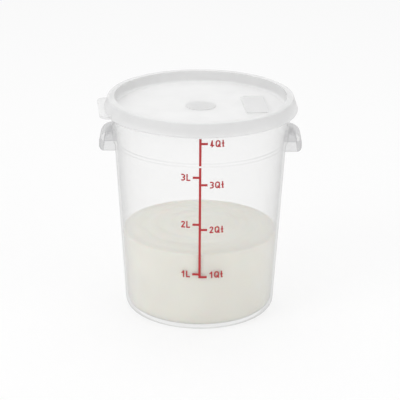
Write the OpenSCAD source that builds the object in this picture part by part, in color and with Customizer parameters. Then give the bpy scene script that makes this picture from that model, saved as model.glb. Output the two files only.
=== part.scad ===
// Round proofing container with a push-on lid, side grips and a printed volume scale.
// Millimetres, +Z up. The origin is on the axis, on the surface that the container stands on.
// The scale faces -Y and the grips point along +X and -X.

/* [Container] */
// Outer diameter at the table, where the line of the wall would meet it
base_d = 148.7; // [135:0.1:170]
// Lean of the wall from upright, in degrees
wall_lean = 3.5; // [2:0.1:5]
// Height from the table to the top of the rim
container_h = 218.5; // [208:0.1:240]
// Thickness of the wall
wall = 2.2; // [1.6:0.1:3]
// Thickness of the floor
floor_t = 3; // [2.2:0.1:5]
// Outer radius of the corner between wall and floor
corner_r = 9; // [6:0.5:14]
// Depth of the hollow under the floor, inside the foot ring
foot_hollow = 1.5; // [0.5:0.1:2.5]
// Width of the ring that the container stands on
foot_w = 6; // [3:0.5:12]

/* [Stacking ledge and rim] */
// Height of the ledge's lower edge above the table
ledge_z = 174.1; // [160:0.1:190]
// How far the band above the ledge stands out from the wall below it
ledge_out = 1.8; // [1:0.1:3]
// Height of the sloping face of the ledge
ledge_h = 2.4; // [1.5:0.1:4]
// How far the rim bead stands out from the band
bead_out = 3; // [2:0.1:4]
// Height of the rim bead
bead_h = 8; // [6:0.1:10]
// Height of the bead's widest, upright part
bead_land = 1.6; // [1:0.1:2.5]

/* [Side grips] */
// Length of a grip along the wall
grip_len = 31; // [24:0.5:45]
// How far a grip stands out from the wall at the ledge
grip_out = 14.7; // [12:0.1:20]
// Height of a grip's top face above the table
grip_top = 187.5; // [180:0.1:192]
// Height of a grip from its open lower side to its top
grip_h = 20; // [17:0.1:30]
// Radius of a grip's outer top corner
grip_top_r = 12; // [6:0.5:13]
// Radius of a grip's outer bottom corner
grip_foot_r = 4.5; // [2:0.5:6]
// Radius of a grip's upright corners
grip_side_r = 3; // [1:0.5:4]
// Thickness of a grip's outer wall
grip_strap = 4.4; // [3:0.1:5]
// Thickness of a grip's top
grip_web = 2.6; // [2:0.1:4]
// Thickness of a grip's two ends
grip_end = 1.8; // [1.2:0.1:3]

/* [Lid] */
// Thickness of the lid
lid_t = 2; // [1.6:0.1:2.4]
// Depth of the recess in the top of the lid
recess = 11.2; // [8:0.1:16]
// Length of the skirt from the top of the lid to its lower edge
skirt_h = 13.6; // [12:0.1:18]
// Thickness of the skirt at its lower edge
skirt_lip = 3.2; // [2.8:0.1:4.5]
// Radius of the fillet at the foot of the recess
recess_r = 2.5; // [1:0.5:4]
// Radius of the lid's outer top edge
lid_edge_r = 2; // [1:0.1:2.4]
// Radius of the skirt's outer lower edge
lid_lip_r = 1; // [0.5:0.1:1.2]
// How far the lid is turned on the container, in degrees
lid_turn = 5.5; // [0:0.5:30]

/* [Lid details] */
// Width of the grip tab along the skirt
tab_w = 64; // [60:1:90]
// How far the tab stands out from the skirt
tab_out = 5; // [4:0.1:12]
// Thickness of the tab
tab_t = 3; // [2:0.1:4]
// Radius of the tab's outer corners
tab_r = 9; // [4:0.5:9]
// Width of the write-on panel, along the lid's radius
label_w = 25; // [16:1:32]
// Length of the write-on panel, across the lid's radius
label_len = 56; // [30:1:66]
// Distance from the write-on panel to the wall of the recess
label_gap = 17; // [12:1:24]
// How far the write-on panel stands up
label_t = 0.5; // [0.3:0.1:1]
// Width of the write-on panel's raised border
label_border = 2.4; // [1:0.1:4]
// How far the border stands up from the write-on panel
label_border_t = 0.4; // [0.2:0.1:1]
// Radius of the write-on panel's corners
label_r = 2; // [1:0.5:5]
// Diameter of the centre boss
boss_d = 30; // [20:1:40]
// How far the centre boss stands up
boss_t = 0.5; // [0.3:0.1:1]

/* [Printed scale] */
// Thickness of the ink
ink = 0.2; // [0.1:0.05:0.4]
// Width of the upright line and height of each tick
line_w = 2.3; // [1.5:0.1:3]
// Reach of a tick from the middle of the line
tick_len = 7.1; // [5:0.1:9]
// Height of the figures
figure_h = 7; // [5:0.1:9]
// Width of a figure
figure_w = 3.8; // [3:0.1:5]
// Width of the strokes of the figures
stroke = 1.3; // [0.8:0.1:1.6]
// Space between figures, and twice that from tick to figure
figure_gap = 1.1; // [0.8:0.1:2]
// How far the line runs on above the highest mark
line_over = 5; // [3:0.1:6]

/* [Dough] */
// Volume of the dough, in cubic millimetres
dough_volume = 1400000; // [500000:50000:2500000]
// Height of the dough's crown over its edge
dough_crown = 2.5; // [1:0.1:6]
// Radius of the largest bubble under the skin
bubble_r = 14; // [8:0.5:16]

/* [Fits] */
// Gap between the lid's plug wall and the inside of the container
plug_gap = 0.5; // [0.3:0.05:1]
// Gap between the lid's skirt and the rim bead
bead_gap = 0.4; // [0.3:0.05:0.8]
// Gap between the dough and the wall
dough_gap = 0.3; // [0.2:0.05:1]

/* [Hidden] */
$fn = 96;

// Small overlap with which a cutting shape runs past the face that it cuts
past = 1;

// One litre and one US quart, in cubic millimetres
litre = 1000000;
quart = 946353;

// Wall: radii grow with height by the lean
lean = tan(wall_lean);
base_r = base_d / 2;
function wall_r(z) = base_r + lean * z;
function band_r(z) = wall_r(z) + ledge_out;
function bore_r(z) = wall_r(z) - wall;
function band_bore_r(z) = band_r(z) - wall;
floor_z = foot_hollow + floor_t;
ledge_top = ledge_z + ledge_h;
bore_ledge_z = ledge_z + wall;
bore_ledge_top = ledge_top + wall;

// Rim bead: a land at its widest, a slope up to the rim and a short slope back under it
bead_z = container_h - bead_h;
bead_r = band_r(bead_z) + bead_out;
bead_under = bead_out / 3;
rim_r = band_r(container_h);
rim_edge = wall / 4;

// Lid: its channel sits on the rim
lid_top = container_h + lid_t;
panel_top = lid_top - recess;
panel_under = panel_top - lid_t;
skirt_z = lid_top - skirt_h;
skirt_bore_r = bead_r + bead_gap;
function plug_r(z) = band_bore_r(z) - plug_gap;
function recess_wall_r(z) = plug_r(z) - lid_t;
lid_rim_r = rim_r + bead_gap + lid_t;
skirt_r = skirt_bore_r + skirt_lip;
recess_foot_r = recess_wall_r(panel_top);

// Reach of the grips and the tab from the axis
grip_reach = wall_r(ledge_z) + grip_out;
tab_reach = skirt_r + tab_out;

// Colours
clear_plastic = [0.93, 0.94, 0.94, 0.45];
frosted_plastic = [0.9, 0.91, 0.91, 0.8];
scale_red = [0.6, 0.06, 0.08];
dough_cream = [0.93, 0.91, 0.84];

// Part of a disc between two directions, in degrees
module pie(r, from, to) {
    intersection() {
        circle(r);
        polygon([[0, 0], for (a = [from, (from + to) / 2, to]) 2 * r * [cos(a), sin(a)]]);
    }
}

// Half outline of a tapered cup with a rounded lower corner, closed at the axis
module cup_outline(foot_r, foot_z, round_r, upper) {
    corner_x = foot_r + lean * round_r - round_r / cos(wall_lean);
    corner_z = foot_z + round_r;
    tangent = [corner_x + round_r * cos(wall_lean), corner_z - round_r * sin(wall_lean)];
    polygon(concat([[0, foot_z], [corner_x, foot_z], tangent], upper));
    translate([corner_x, corner_z]) pie(round_r, -90, -wall_lean);
}

// Outside of the container from the table up to the underside of the rim bead
module outside_outline() {
    cup_outline(base_r, 0, corner_r, [
        [wall_r(ledge_z), ledge_z],
        [band_r(ledge_top), ledge_top],
        [band_r(bead_z), bead_z],
        [bead_r, bead_z + bead_under],
        [bead_r, bead_z + bead_under + bead_land],
        [rim_r, container_h - rim_edge],
        [rim_r - rim_edge, container_h],
        [0, container_h]
    ]);
}

// Inside of the container, running past the rim
module inside_outline() {
    cup_outline(bore_r(floor_z), floor_z, corner_r - wall, [
        [bore_r(bore_ledge_z), bore_ledge_z],
        [band_bore_r(bore_ledge_top), bore_ledge_top],
        [band_bore_r(container_h - rim_edge), container_h - rim_edge],
        [band_bore_r(container_h) + rim_edge, container_h],
        [band_bore_r(container_h) + rim_edge, container_h + past],
        [0, container_h + past]
    ]);
}

module container_shell() {
    color(clear_plastic)
    rotate_extrude()
    difference() {
        outside_outline();
        inside_outline();
        hollow_r = base_r - corner_r - foot_w;
        polygon([[0, -past], [hollow_r, -past], [hollow_r, 0], [hollow_r - foot_hollow, foot_hollow],
                 [0, foot_hollow]]);
    }
}

// Rectangle from the axis out to a reach, with its two outer corners rounded
module ear_outline(reach, low, high, low_r, high_r) {
    polygon([
        [0, low], [reach - low_r, low], [reach, low + low_r],
        [reach, high - high_r], [reach - high_r, high], [0, high]
    ]);
    translate([reach - low_r, low + low_r]) pie(low_r, -90, 0);
    translate([reach - high_r, high - high_r]) pie(high_r, 0, 90);
}

// Hollow grip on the +X side, open below for the fingers
module grip() {
    foot = grip_top - grip_h;
    pocket_half = grip_len / 2 - grip_end;
    color(clear_plastic)
    difference() {
        intersection() {
            translate([0, grip_len / 2, 0]) rotate([90, 0, 0]) linear_extrude(grip_len)
                ear_outline(grip_reach, foot, grip_top, grip_foot_r, grip_top_r);
            translate([0, 0, foot]) linear_extrude(grip_h)
                ear_outline(grip_reach, -grip_len / 2, grip_len / 2, grip_side_r, grip_side_r);
        }
        translate([0, pocket_half, 0]) rotate([90, 0, 0]) linear_extrude(2 * pocket_half) {
            pocket_reach = grip_reach - grip_strap;
            pocket_top = grip_top - grip_web;
            pocket_r = grip_top_r - grip_web;
            polygon([
                [0, foot - past], [pocket_reach, foot - past], [pocket_reach, pocket_top - pocket_r],
                [pocket_reach - pocket_r, pocket_top], [0, pocket_top]
            ]);
            translate([pocket_reach - pocket_r, pocket_top - pocket_r]) pie(pocket_r, 0, 90);
        }
        rotate_extrude() outside_outline();
    }
}

module handle_right() {
    grip();
}

module handle_left() {
    rotate([0, 0, 180]) grip();
}

// Height of the surface when the container holds a volume
function cone_root(v, r) = pow(3 * lean * v / PI + pow(r, 3), 1 / 3);
function cone_volume(low_r, high_r) = PI * (pow(high_r, 3) - pow(low_r, 3)) / (3 * lean);
volume_to_ledge = cone_volume(bore_r(floor_z), bore_r(bore_ledge_top));
function level(v) =
    v < volume_to_ledge
    ? (cone_root(v, bore_r(floor_z)) - bore_r(0)) / lean
    : (cone_root(v - volume_to_ledge, band_bore_r(bore_ledge_top)) - band_bore_r(0)) / lean;

// Marks that the container can hold below the rim bead
mark_limit = skirt_z - line_over;
function marks(unit) = [for (n = [1 : 9]) if (level(n * unit) <= mark_limit) n];
litre_marks = marks(litre);
quart_marks = marks(quart);
lowest_mark = min(level(litre), level(quart));
highest_mark = max(level(len(litre_marks) * litre), level(len(quart_marks) * quart));

// Layer of ink on the outside of the wall, between two heights
module ink_layer(low, high) {
    rotate_extrude()
    intersection() {
        difference() {
            translate([ink, 0]) wall_line();
            wall_line();
        }
        translate([0, low]) square([2 * base_r, high - low]);
    }
}

// Region inside the wall and band, for the ink to follow
module wall_line() {
    polygon([
        [0, 0], [wall_r(0), 0], [wall_r(ledge_z), ledge_z], [band_r(ledge_top), ledge_top],
        [band_r(bead_z), bead_z], [0, bead_z]
    ]);
}

// A flat drawing, seen from -Y, printed on the wall
module print_on_wall(low, high) {
    color(scale_red)
    intersection() {
        ink_layer(low, high);
        rotate([90, 0, 0]) linear_extrude(2 * base_r) children();
    }
}

// Upright line, left out where it would cross the slope of the ledge
line_foot = lowest_mark - line_w / 2;
module scale_line() {
    high = highest_mark + line_over;
    print_on_wall(line_foot, high)
    difference() {
        translate([-line_w / 2, line_foot]) square([line_w, high - line_foot]);
        translate([-line_w, ledge_z]) square([2 * line_w, ledge_h]);
    }
}

// Ticks beside the line: side is -1 for the left and 1 for the right
module ticks(unit, count, side) {
    print_on_wall(0, bead_z)
    for (n = [1 : count])
        translate([side * (tick_len + line_w / 2) / 2, level(n * unit)])
            square([tick_len - line_w / 2, line_w], center = true);
}

module litre_ticks() {
    ticks(litre, len(litre_marks), -1);
}

module quart_ticks() {
    ticks(quart, len(quart_marks), 1);
}

// Straight stroke between two points
module bar(a, b) {
    run = b - a;
    translate(a) rotate(atan2(run.y, run.x)) translate([0, -stroke / 2]) square([norm(run), stroke]);
}

// Curved stroke along the part of a ring between two directions
module bow(r, from, to) {
    difference() {
        pie(r, from, to);
        circle(r - stroke);
    }
}

// Figures 1 to 4, with the lower left corner at the origin
module figure_1() {
    stem_x = figure_w / 2;
    translate([stem_x, 0]) square([stroke, figure_h]);
    bar([stem_x - stroke, figure_h - 2 * stroke], [stem_x + stroke / 2, figure_h - stroke / 2]);
}

module figure_2() {
    r = figure_w / 2;
    square([figure_w, stroke]);
    translate([r, figure_h - r]) bow(r, -30, 90);
    translate([r, figure_h - r]) bow(r, 90, 180);
    bar([stroke / 2, stroke / 2], [r + (r - stroke / 2) * cos(30), figure_h - r - (r - stroke / 2) * sin(30)]);
}

module figure_3() {
    r = (figure_h + stroke) / 4;
    for (z = [r, figure_h - r], from = [-90, 0])
        translate([figure_w - r, z]) bow(r, from, from + 90);
    for (z = [0, figure_h - stroke])
        translate([0, z]) square([figure_w - r, stroke]);
    translate([stroke, (figure_h - stroke) / 2]) square([figure_w - r - stroke, stroke]);
}

module figure_4() {
    stem_x = figure_w - 2 * stroke;
    translate([stem_x, 0]) square([stroke, figure_h]);
    translate([0, stroke]) square([figure_w, stroke]);
    bar([stroke / 2, 2 * stroke - stroke / 2], [stem_x + stroke / 2, figure_h - stroke / 2]);
}

module letter_L() {
    square([stroke, figure_h]);
    square([figure_w, stroke]);
}

// Round letter with a short tail across its lower right
q_w = figure_w + 1;
module letter_Q() {
    r = q_w / 2;
    for (side = [0, 1])
        translate([r, r + side * (figure_h - q_w)])
            for (turn = [0, 90])
                bow(r, 180 * (1 - side) + turn, 180 * (1 - side) + turn + 90);
    for (x = [0, q_w - stroke]) translate([x, r]) square([stroke, figure_h - q_w]);
    bar([r, 2 * stroke], [q_w, 0]);
}

t_w = figure_w - stroke;
module letter_t() {
    translate([stroke / 2, 0]) square([stroke, figure_h]);
    translate([0, figure_h - 3 * stroke]) square([t_w, stroke]);
    translate([stroke / 2, 0]) square([t_w - stroke / 2, stroke]);
}

module figure(n) {
    if (n == 1) figure_1();
    if (n == 2) figure_2();
    if (n == 3) figure_3();
    if (n == 4) figure_4();
}

// Foot of the figures beside a mark, no lower than the foot of the line
function figure_foot(v) = max(level(v) - figure_h / 2, line_foot);

litre_label_w = 2 * figure_w + figure_gap;
module litre_figures() {
    print_on_wall(0, bead_z)
    for (n = litre_marks)
        translate([-tick_len - 2 * figure_gap - litre_label_w, figure_foot(n * litre)]) {
            figure(n);
            translate([figure_w + figure_gap, 0]) letter_L();
        }
}

module quart_figures() {
    print_on_wall(0, bead_z)
    for (n = quart_marks)
        translate([tick_len + 2 * figure_gap, figure_foot(n * quart)]) {
            figure(n);
            translate([figure_w + figure_gap, 0]) letter_Q();
            translate([figure_w + q_w + 2 * figure_gap, 0]) letter_t();
        }
}

// Dough: fills the bottom of the container, crowned, with a few bubbles under its skin
dough_edge_z = level(dough_volume);
function dough_r(z) = bore_r(z) - dough_gap;
crown_r = (pow(dough_r(dough_edge_z), 2) + pow(dough_crown, 2)) / (2 * dough_crown);
crown_sides = 720;

// Bubbles: place as a share of the dough's radius, direction in degrees, and share of the largest size
bubbles = [[0.76, 202, 1], [0.5, 40, 0.8], [0.42, 150, 0.7], [0.62, 290, 0.75], [0.7, 345, 0.6]];
bubble_rise = 0.16;

module dough() {
    crown_z = dough_edge_z + dough_crown;
    color(dough_cream) {
        rotate_extrude()
        intersection() {
            cup_outline(dough_r(floor_z), floor_z, corner_r - wall, [
                [dough_r(crown_z), crown_z], [0, crown_z]
            ]);
            translate([0, crown_z - crown_r]) circle(crown_r, $fn = crown_sides);
        }
        for (b = bubbles) {
            r = bubble_r * b[2];
            place = b[0] * dough_r(dough_edge_z);
            drop = crown_r - sqrt(pow(crown_r, 2) - pow(place, 2));
            rotate([0, 0, b[1]]) translate([place, 0, crown_z - drop - r * (1 - bubble_rise)]) sphere(r);
        }
    }
}

module lid_shell() {
    color(frosted_plastic)
    rotate_extrude()
    difference() {
        lid_outline();
        lid_channel_outline();
        recess_outline();
    }
}

// Outside of the lid, from the underside of its panel to its top, closed at the axis
module lid_outline() {
    lip = [skirt_r - lid_lip_r, skirt_z + lid_lip_r];
    edge = [lid_rim_r - lid_edge_r, lid_top - lid_edge_r];
    run = lip - edge;
    facing = atan2(run.x, -run.y) - asin((lid_edge_r - lid_lip_r) / norm(run));
    outward = [cos(facing), sin(facing)];
    polygon([
        [0, panel_under], [plug_r(panel_under), panel_under], [plug_r(panel_under), skirt_z],
        [lip.x, skirt_z], lip + lid_lip_r * outward, edge + lid_edge_r * outward,
        [edge.x, lid_top], [0, lid_top]
    ]);
    translate(lip) pie(lid_lip_r, -90, facing);
    translate(edge) pie(lid_edge_r, facing, 90);
}

// Channel that takes the rim of the container, open below
module lid_channel_outline() {
    polygon([
        [plug_r(skirt_z - past), skirt_z - past], [plug_r(container_h), container_h],
        [rim_r + bead_gap, container_h],
        [skirt_bore_r, bead_z + bead_under + bead_land + bead_gap],
        [skirt_bore_r, skirt_z + lid_lip_r], [skirt_bore_r + lid_lip_r, skirt_z],
        [skirt_bore_r + lid_lip_r, skirt_z - past]
    ]);
}

// Recess in the top of the lid, with a fillet at its foot
module recess_outline() {
    cup_outline(recess_foot_r, panel_top, recess_r, [
        [recess_wall_r(lid_top + past), lid_top + past],
        [0, lid_top + past]
    ]);
}

module lid_tab() {
    color(frosted_plastic)
    rotate([0, 0, lid_turn + 180])
    intersection() {
        translate([0, 0, skirt_z - past]) linear_extrude(skirt_h)
            ear_outline(tab_reach, -tab_w / 2, tab_w / 2, tab_r, tab_r);
        rotate_extrude()
        difference() {
            translate([skirt_bore_r, skirt_z + lid_lip_r / 2]) square([tab_reach, tab_t]);
            lid_outline();
        }
    }
}

// Rectangle with rounded corners, centred
module rounded_plate(w, len, r) {
    for (turn = [0, 180])
        rotate(turn) ear_outline(w / 2, -len / 2, len / 2, r, r);
}

module lid_label_panel() {
    color(frosted_plastic)
    rotate([0, 0, lid_turn])
    translate([recess_foot_r - label_gap - label_w / 2, 0, panel_top])
    difference() {
        linear_extrude(label_t + label_border_t) rounded_plate(label_w, label_len, label_r);
        translate([0, 0, label_t]) linear_extrude(label_border_t + past)
            square([label_w - 2 * label_border, label_len - 2 * label_border], center = true);
    }
}

module lid_centre_boss() {
    color(frosted_plastic)
    translate([0, 0, panel_top]) cylinder(d = boss_d, h = boss_t);
}

container_shell();
handle_left();
handle_right();
scale_line();
litre_ticks();
quart_ticks();
litre_figures();
quart_figures();
dough();
lid_shell();
lid_tab();
lid_label_panel();
lid_centre_boss();
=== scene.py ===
import math

import bpy
import numpy as np
from mathutils import Matrix, Vector


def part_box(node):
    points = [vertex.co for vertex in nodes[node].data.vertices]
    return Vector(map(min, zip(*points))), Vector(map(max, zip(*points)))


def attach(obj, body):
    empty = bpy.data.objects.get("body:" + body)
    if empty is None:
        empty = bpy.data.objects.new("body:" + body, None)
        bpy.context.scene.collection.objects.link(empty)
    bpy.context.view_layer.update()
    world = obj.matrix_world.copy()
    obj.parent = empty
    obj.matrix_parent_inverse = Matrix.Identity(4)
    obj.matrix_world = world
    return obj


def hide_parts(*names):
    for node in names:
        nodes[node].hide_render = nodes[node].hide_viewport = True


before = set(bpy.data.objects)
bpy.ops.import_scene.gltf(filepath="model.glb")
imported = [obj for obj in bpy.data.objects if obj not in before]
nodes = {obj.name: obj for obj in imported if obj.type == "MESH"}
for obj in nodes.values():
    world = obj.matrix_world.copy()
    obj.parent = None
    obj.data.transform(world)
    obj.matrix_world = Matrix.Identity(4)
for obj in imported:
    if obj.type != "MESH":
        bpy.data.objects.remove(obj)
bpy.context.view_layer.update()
print("frame loaded:", len(nodes), "nodes")


# A shader socket that can be used in plain arithmetic; each operator adds one Math node
class Sock:
    def __init__(self, paint, link):
        self.paint = paint
        self.link = link

    def math(self, operation, other):
        return self.paint.node("ShaderNodeMath", {"operation": operation}, {0: self, 1: other})[0]

    def __add__(self, other):
        return self.math("ADD", other)

    def __mul__(self, other):
        return self.math("MULTIPLY", other)

    def __pow__(self, other):
        return self.math("POWER", other)

    def orLarger(self, other):
        return self.math("MAXIMUM", other)

    __radd__ = __add__
    __rmul__ = __mul__


# One node's outputs, by number or by name
class Outs:
    def __init__(self, paint, made):
        self.paint = paint
        self.made = made

    def __getitem__(self, key):
        return Sock(self.paint, self.made.outputs[key])


bumpStrength = 0.6


# The node tree of one material or of the world
class Paint:
    def __init__(self, owner):
        owner.use_nodes = True
        self.tree = owner.node_tree
        self.tree.nodes.clear()

    def node(self, kind, settings, sockets):
        made = self.tree.nodes.new(kind)
        for name, value in settings.items():
            setattr(made, name, value)
        for key, value in sockets.items():
            if isinstance(value, Sock):
                self.tree.links.new(value.link, made.inputs[key])
            else:
                made.inputs[key].default_value = value
        return Outs(self, made)

    # Sockets 6, 7 and 2 are the Mix node's two colours and its colour result
    def blend(self, amount, low, high):
        return self.node("ShaderNodeMix", {"data_type": "RGBA"}, {0: amount, 6: low, 7: high})[2]

    def noise(self, grain):
        where = self.node("ShaderNodeTexCoord", {}, {})["Object"]
        sockets = {"Vector": where, "Scale": grain["scale"], "Detail": grain["detail"]}
        return self.node("ShaderNodeTexNoise", {}, sockets)["Fac"]

    def bump(self, height, depth):
        sockets = {"Height": height, "Strength": bumpStrength, "Distance": depth}
        return self.node("ShaderNodeBump", {}, sockets)[0]

    def surface(self, sockets):
        skin = self.node("ShaderNodeBsdfPrincipled", {}, sockets)[0]
        self.node("ShaderNodeOutputMaterial", {}, {"Surface": skin})


def newMaterial(name):
    material = bpy.data.materials.new(name)
    return material, Paint(material)


plasticIor = 1.49

# Both clear plastics share their clouding; the grips are thicker, so they are hazier, and their greyer
# colour is painted shade for the shade inside the grips
clearCommon = {
    "cloud": {"scale": 38, "detail": 3}, "cloudHaze": 0.03, "cloudRough": 0.08,
    "ripple": {"scale": 60, "detail": 2}, "rippleDepth": 0.0002, "turnBlend": 0.5,
}
# Each look's edge colour is a painted shade that greys the plastic where it turns away from the eye
wallLook = {
    **clearCommon, "face": (0.93, 0.93, 0.93, 1), "edge": (0.42, 0.42, 0.43, 1),
    "haze": 0.07, "edgeHaze": 0.62, "edgePower": 3.0, "rough": 0.1,
}
# The grips' darker grey face and edge colours are painted shade
gripLook = {
    **clearCommon, "face": (0.72, 0.72, 0.73, 1), "edge": (0.3, 0.3, 0.31, 1),
    "haze": 0.26, "edgeHaze": 0.6, "edgePower": 2.0, "rough": 0.16,
}


# Clear polypropylene: nearly open where it faces the eye, hazy where it turns away, and there greyed by a
# painted shade in place of the dark reflections at grazing angles
def clearPlastic(name, look):
    material, paint = newMaterial(name)
    facing = paint.node("ShaderNodeLayerWeight", {}, {"Blend": look["turnBlend"]})["Facing"]
    grazingHazeAndShade = facing ** look["edgePower"]
    cloud = paint.noise(look["cloud"])
    paint.surface({
        # Painted shade: the colour darkens from the face colour to the edge colour as the surface turns
        # from the eye
        "Base Color": paint.blend(grazingHazeAndShade, look["face"], look["edge"]),
        "Alpha": look["haze"] + look["edgeHaze"] * grazingHazeAndShade + look["cloudHaze"] * cloud,
        "Roughness": look["rough"] + look["cloudRough"] * cloud,
        "Normal": paint.bump(paint.noise(look["ripple"]), look["rippleDepth"]),
        "IOR": plasticIor,
    })
    return material


frostLook = {
    "low": (0.84, 0.84, 0.84, 1), "high": (0.92, 0.92, 0.92, 1),
    "cloud": {"scale": 25, "detail": 4}, "cover": 0.62, "cloudCover": 0.08,
    "rough": 0.38, "cloudRough": 0.12, "frost": {"scale": 900, "detail": 2}, "frostDepth": 0.0001,
}


# Frosted polypropylene: a fine grain with a soft sheen
def frostedPlastic(look):
    material, paint = newMaterial("frostedPlastic")
    cloud = paint.noise(look["cloud"])
    paint.surface({
        "Base Color": paint.blend(cloud, look["low"], look["high"]),
        "Alpha": look["cover"] + look["cloudCover"] * cloud,
        "Roughness": look["rough"] + look["cloudRough"] * cloud,
        "Normal": paint.bump(paint.noise(look["frost"]), look["frostDepth"]),
        "IOR": plasticIor,
    })
    return material


inkLook = {
    "thin": (0.55, 0.03, 0.035, 1), "thick": (0.38, 0.018, 0.022, 1),
    "speckle": {"scale": 400, "detail": 3}, "rough": 0.35, "speckleRough": 0.15,
}


# Printed ink: slightly uneven cover
def printedInk(look):
    material, paint = newMaterial("printedInk")
    cover = paint.noise(look["speckle"])
    paint.surface({
        "Base Color": paint.blend(cover, look["thin"], look["thick"]),
        "Roughness": look["rough"] + look["speckleRough"] * cover,
    })
    return material


doughLook = {
    "pale": (0.95, 0.94, 0.86, 1), "deep": (0.84, 0.82, 0.74, 1),
    "patches": {"scale": 22, "detail": 4}, "pores": {"scale": 260, "detail": 3}, "poreShare": 0.3,
    "rough": 0.42, "patchRough": 0.2, "skinDepth": 0.0012, "glow": 0.15, "glowReach": 0.006,
}


# Dough: cream with darker damp patches and fine pores under the skin
def doughSkin(look):
    material, paint = newMaterial("doughSkin")
    patches = paint.noise(look["patches"])
    relief = (1 - look["poreShare"]) * patches + look["poreShare"] * paint.noise(look["pores"])
    paint.surface({
        "Base Color": paint.blend(patches, look["pale"], look["deep"]),
        "Roughness": look["rough"] + look["patchRough"] * patches,
        "Normal": paint.bump(relief, look["skinDepth"]),
        "Subsurface Weight": look["glow"],
        "Subsurface Scale": look["glowReach"],
    })
    return material


# Metres, with the side at r = footR + lean * z. floorReach is the first and the last floor ring as shares
# of the floor's radius. The last row counts points
dough = {
    "footR": 0.0719, "lean": 0.0612, "cornerR": 0.0068, "edgeR": 0.0022,
    "crown": 0.0025, "fold": 0.0009, "foldPitch": 0.017,
    "lump": (-0.056, -0.022), "lumpH": 0.0022, "lumpR": 0.014, "floorReach": (0.1, 0.95),
    "around": 288, "topRings": 90, "sideRings": 40, "cornerRings": 8, "edgeRings": 8, "floorRings": 6,
}


# Outline as radius and height: out along the floor, round the foot corner, up the leaning side,
# round the upper edge and in along a flat top. Also gives the radius at which the top begins.
def doughOutline(low, topZ):
    corner = np.linspace(-math.pi / 2, 0, dough["cornerRings"])
    cornerX = dough["footR"] + dough["lean"] * low - dough["cornerR"]
    edge = np.linspace(0, math.pi / 2, dough["edgeRings"])
    edgeX = dough["footR"] + dough["lean"] * topZ - dough["edgeR"]
    sideZ = np.linspace(low + dough["cornerR"], topZ - dough["edgeR"], dough["sideRings"])[1:-1]
    top = np.linspace(1, 0, dough["topRings"])[1:-1] * edgeX
    radius = np.concatenate([
        np.linspace(*dough["floorReach"], dough["floorRings"]) * cornerX,
        cornerX + dough["cornerR"] * np.cos(corner),
        dough["footR"] + dough["lean"] * sideZ,
        edgeX + dough["edgeR"] * np.cos(edge),
        top,
    ])
    height = np.concatenate([
        np.full(dough["floorRings"], low),
        low + dough["cornerR"] + dough["cornerR"] * np.sin(corner),
        sideZ,
        topZ - dough["edgeR"] + dough["edgeR"] * np.sin(edge),
        np.full(len(top), topZ),
    ])
    onTop = np.concatenate([np.zeros(len(radius) - len(top)), np.ones(len(top))])
    return radius, height, onTop, edgeX


# Rise of the top over its edge: crown * (1 - q^2) + fold * sin(2 pi r / foldPitch + angle) * (q - q^6)
# + lumpH * exp(-(d / lumpR)^2) * (1 - q^8), where q = r / edge radius and d is the distance from the lump
def doughRise(x, y, radius, angle, edgeX):
    q = (radius / edgeX)[:, None]
    swirl = np.sin(2 * math.pi * radius[:, None] / dough["foldPitch"] + angle[None, :])
    away = np.hypot(x - dough["lump"][0], y - dough["lump"][1]) / dough["lumpR"]
    rise = dough["crown"] * (1 - q ** 2) + dough["fold"] * swirl * (q - q ** 6)
    return rise + dough["lumpH"] * np.exp(-away ** 2) * (1 - q ** 8)


# Faces of a closed skin over rings of points: four-sided between neighbouring rings, and a fan of
# three-sided ones from the first ring and from the last to the two points after all the rings
def skinFaces(rings, around):
    ring, step = np.meshgrid(np.arange(rings - 1), np.arange(around), indexing="ij")
    after = (step + 1) % around
    quads = np.stack([
        ring * around + step, ring * around + after,
        (ring + 1) * around + after, (ring + 1) * around + step,
    ], axis=-1).reshape(-1, 4)
    one = np.arange(around)
    two = (one + 1) % around
    last = (rings - 1) * around
    base = np.stack([two, one, np.full(around, rings * around)], axis=-1)
    cap = np.stack([last + one, last + two, np.full(around, rings * around + 1)], axis=-1)
    return quads.tolist() + base.tolist() + cap.tolist()


def makeDough():
    low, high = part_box("dough")
    topZ = high.z - dough["crown"] - dough["lumpH"]
    radius, height, onTop, edgeX = doughOutline(low.z, topZ)
    angle = np.arange(dough["around"]) * 2 * math.pi / dough["around"]
    x = np.outer(radius, np.cos(angle))
    y = np.outer(radius, np.sin(angle))
    z = height[:, None] + onTop[:, None] * doughRise(x, y, radius, angle, edgeX)
    points = np.stack([x, y, z], axis=-1).reshape(-1, 3)
    points = np.vstack([points, [[0, 0, low.z], [0, 0, z[-1].mean()]]])
    mesh = bpy.data.meshes.new("doughLoad")
    mesh.from_pydata(points.tolist(), [], skinFaces(*x.shape))
    mesh.shade_smooth()
    mesh.update()
    return bpy.data.objects.new("doughLoad", mesh)


def dress(nodeNames, material):
    for nodeName in nodeNames:
        nodes[nodeName].data.materials.clear()
        nodes[nodeName].data.materials.append(material)


def intoScene(newObject):
    bpy.context.scene.collection.objects.link(newObject)


dress(["container_shell"], clearPlastic("clearWall", wallLook))
dress(["handle_left", "handle_right"], clearPlastic("clearGrip", gripLook))
dress(["lid_shell", "lid_tab", "lid_label_panel", "lid_centre_boss"], frostedPlastic(frostLook))
dress(["scale_line", "litre_ticks", "quart_ticks", "litre_figures", "quart_figures"], printedInk(inkLook))
print("plastics and ink done")

load = makeDough()
intoScene(load)
load.data.materials.append(doughSkin(doughLook))
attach(load, "container")
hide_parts("dough")
print("dough done:", len(load.data.polygons), "faces")


# 1 for what the eye sees directly, in a reflection or through the plastic, and 0 for other light
def seenDirectly(paint):
    path = paint.node("ShaderNodeLightPath", {}, {})
    return path["Is Camera Ray"].orLarger(path["Is Glossy Ray"]).orLarger(path["Is Transmission Ray"])


# fill is the world's strength as a light; floorShade is how much of its own shading the floor shows
studio = {
    "floorSize": 6.0, "floorColor": (0.9, 0.9, 0.9, 1), "white": (1, 1, 1, 1), "whiteStrength": 1.0,
    "fill": 0.62, "floorShade": 0.22,
}


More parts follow.
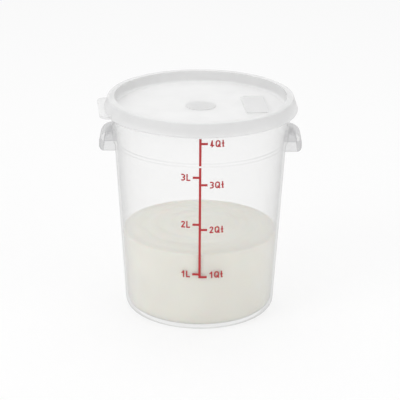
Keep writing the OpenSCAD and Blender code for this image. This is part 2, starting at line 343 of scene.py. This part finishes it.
def makeFloor():
    half = studio["floorSize"] / 2
    mesh = bpy.data.meshes.new("studioFloor")
    corners = [(-half, -half, 0), (half, -half, 0), (half, half, 0), (-half, half, 0)]
    mesh.from_pydata(corners, [], [(0, 1, 2, 3)])
    floor = bpy.data.objects.new("studioFloor", mesh)
    intoScene(floor)
    material, paint = newMaterial("studioFloor")
    matte = paint.node("ShaderNodeBsdfDiffuse", {}, {"Color": studio["floorColor"]})[0]
    bright = {"Color": studio["white"], "Strength": studio["whiteStrength"]}
    glow = paint.node("ShaderNodeEmission", {}, bright)[0]
    share = seenDirectly(paint) * (1 - studio["floorShade"])
    mixed = paint.node("ShaderNodeMixShader", {}, {0: share, 1: matte, 2: glow})[0]
    paint.node("ShaderNodeOutputMaterial", {}, {"Surface": mixed})
    mesh.materials.append(material)


def makeWorld():
    world = bpy.data.worlds.new("studio")
    bpy.context.scene.world = world
    paint = Paint(world)
    strength = studio["fill"] + (studio["whiteStrength"] - studio["fill"]) * seenDirectly(paint)
    sky = paint.node("ShaderNodeBackground", {}, {"Color": studio["white"], "Strength": strength})[0]
    paint.node("ShaderNodeOutputWorld", {}, {"Surface": sky})


# Soft boxes: place and size in metres, power in watts. All are aimed at one point, near mid-height
lamps = {
    "key": {"place": (-1.3, -1.1, 1.5), "size": 1.0, "power": 13.0},
    "fill": {"place": (1.4, -0.9, 1.0), "size": 1.2, "power": 6.0},
    "top": {"place": (0.0, 0.5, 1.9), "size": 1.2, "power": 9.0},
}
lampAim = Vector((0, 0, 0.1))


def makeLamp(name, lamp):
    data = bpy.data.lights.new(name, "AREA")
    data.shape = "SQUARE"
    data.size = lamp["size"]
    data.energy = lamp["power"]
    lampObject = bpy.data.objects.new(name, data)
    lampObject.location = lamp["place"]
    towards = lampAim - Vector(lamp["place"])
    lampObject.rotation_euler = towards.to_track_quat("-Z", "Y").to_euler()
    intoScene(lampObject)


# Camera in front of the scale: back and up in metres, down and roll in degrees, lens and sensor in
# millimetres
eye = {"back": 1.6896, "up": 0.7358, "down": 20.31, "roll": 0.4, "lens": 161.7, "sensor": 36}


def makeCamera():
    data = bpy.data.cameras.new("photoCamera")
    data.lens = eye["lens"]
    data.sensor_width = eye["sensor"]
    cameraObject = bpy.data.objects.new("photoCamera", data)
    tilt = Matrix.Rotation(math.radians(90 - eye["down"]), 3, "X")
    roll = Matrix.Rotation(math.radians(eye["roll"]), 3, "Z")
    cameraObject.location = (0, -eye["back"], eye["up"])
    cameraObject.rotation_euler = (tilt @ roll).to_euler()
    intoScene(cameraObject)
    bpy.context.scene.camera = cameraObject


makeFloor()
makeWorld()
for lampName, lamp in lamps.items():
    makeLamp(lampName, lamp)
makeCamera()
bpy.context.scene.view_settings.view_transform = "Standard"
print("floor, lamps and camera done")
